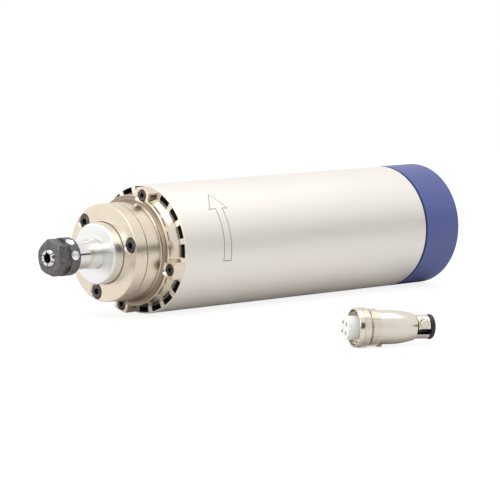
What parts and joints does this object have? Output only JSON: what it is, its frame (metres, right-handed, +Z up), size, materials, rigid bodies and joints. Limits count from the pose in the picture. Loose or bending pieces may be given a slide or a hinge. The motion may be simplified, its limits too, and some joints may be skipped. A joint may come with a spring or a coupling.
{
  "type": "motor spindle",
  "caption": "Air-cooled high-speed motor spindle with a collet nose and ducted round body, lying on its side beside its loose round cable plug.",
  "frame": {"origin": "on the spindle's axis, in the plane of the body tube's front edge", "axes": "X along the axis with the nose towards -X, Z up, the spindle lying on its side"},
  "size_m": [0.2758, 0.2163, 0.065],
  "materials": {
    "tube_aluminium": "satin anodised extrusion with fine lengthwise lines",
    "front_metal": "warm turned metal with a dull sheen",
    "dust_aluminium": "bright turned",
    "ground_steel": "ground bright",
    "collet_steel": "ground bright",
    "nut_black": "black oxide",
    "screw_black": "black oxide",
    "bearing_steel": "polished",
    "cage_resin": "brown cotton resin",
    "lamination": "stacked sheet, edges showing",
    "winding": "varnished copper wire",
    "cast_aluminium": "fine cast with turned seats",
    "spring_steel": "blued",
    "fan_plastic": "moulded",
    "cap_blue": "satin violet blue",
    "nickel": "bright nickel plate",
    "contact_brass": "plated",
    "insulator_black": "moulded",
    "insulator_white": "moulded",
    "bush_rubber": "soft black",
    "lead_cover": "heat-proof sleeving"
  },
  "bodies": {
    "housing": {"body_tube": "tube_aluminium", "front_housing": "front_metal", "front_bearing_cap": "front_metal", "cap_screws": "screw_black", "lug_screws": "screw_black", "front_outer_races": "bearing_steel", "outer_spacer": "ground_steel", "rear_outer_race": "bearing_steel", "stator_core": "lamination", "stator_windings": "winding", "rear_bracket": "cast_aluminium", "wave_spring": "spring_steel", "rear_cap": "cap_blue", "rear_screws": "screw_black", "socket_shell": "nickel", "socket_insulator": "insulator_black", "socket_pins": "contact_brass", "socket_nut": "nickel", "power_leads": "lead_cover"},
    "rotor": {"spindle_shaft": "ground_steel", "dust_ring": "dust_aluminium", "front_inner_races": "bearing_steel", "inner_spacer": "ground_steel", "rear_inner_race": "bearing_steel", "rotor_core": "lamination", "rotor_cage": "cast_aluminium", "fan": "fan_plastic", "fan_clip": "spring_steel"},
    "collet": {"collet": "collet_steel"},
    "collet_nut": {"collet_nut": "nut_black"},
    "front_ball_sets": {"front_balls": "bearing_steel", "front_cages": "cage_resin"},
    "rear_ball_set": {"rear_balls": "bearing_steel", "rear_cage": "cage_resin"},
    "plug": {"plug_insert": "insulator_white", "plug_contacts": "contact_brass", "plug_sleeve": "nickel", "plug_shell": "nickel", "plug_jaw": "nickel", "plug_clamp_screws": "nickel", "plug_bush": "bush_rubber", "plug_set_screw": "nickel"},
    "plug_ring": {"plug_ring": "nickel"}
  },
  "joints": [
    {"name": "rotor_spin", "type": "hinge", "parent": "housing", "child": "rotor", "pos_m": [0, 0, 0], "axis": [1, 0, 0], "continuous": true},
    {"name": "collet_travel", "type": "slide", "parent": "rotor", "child": "collet", "axis": [-1, 0, 0], "range_m": [0, 0.0075]},
    {"name": "nut_turn", "type": "hinge", "parent": "collet", "child": "collet_nut", "pos_m": [-0.055, 0, 0], "axis": [-1, 0, 0], "range_deg": [0, 3600]},
    {"name": "front_balls_roll", "type": "hinge", "parent": "housing", "child": "front_ball_sets", "pos_m": [-0.007, 0, 0], "axis": [1, 0, 0], "continuous": true},
    {"name": "rear_balls_roll", "type": "hinge", "parent": "housing", "child": "rear_ball_set", "pos_m": [0.17, 0, 0], "axis": [1, 0, 0], "continuous": true},
    {"name": "plug_lift", "type": "slide", "parent": "housing", "child": "plug", "axis": [0, 0, 1], "range_m": [0, 0.08]},
    {"name": "plug_ring_turn", "type": "hinge", "parent": "plug", "child": "plug_ring", "pos_m": [-0.0167, -0.1631, -0.02305], "axis": [0.9174, -0.3966, -0.0342], "continuous": true}
  ],
  "couplings": [
    {"joint": "nut_turn", "follows": "collet_travel", "rad_per_m": 8377.5},
    {"joint": "front_balls_roll", "follows": "rotor_spin", "ratio": 0.402},
    {"joint": "rear_balls_roll", "follows": "rotor_spin", "ratio": 0.381}
  ]
}
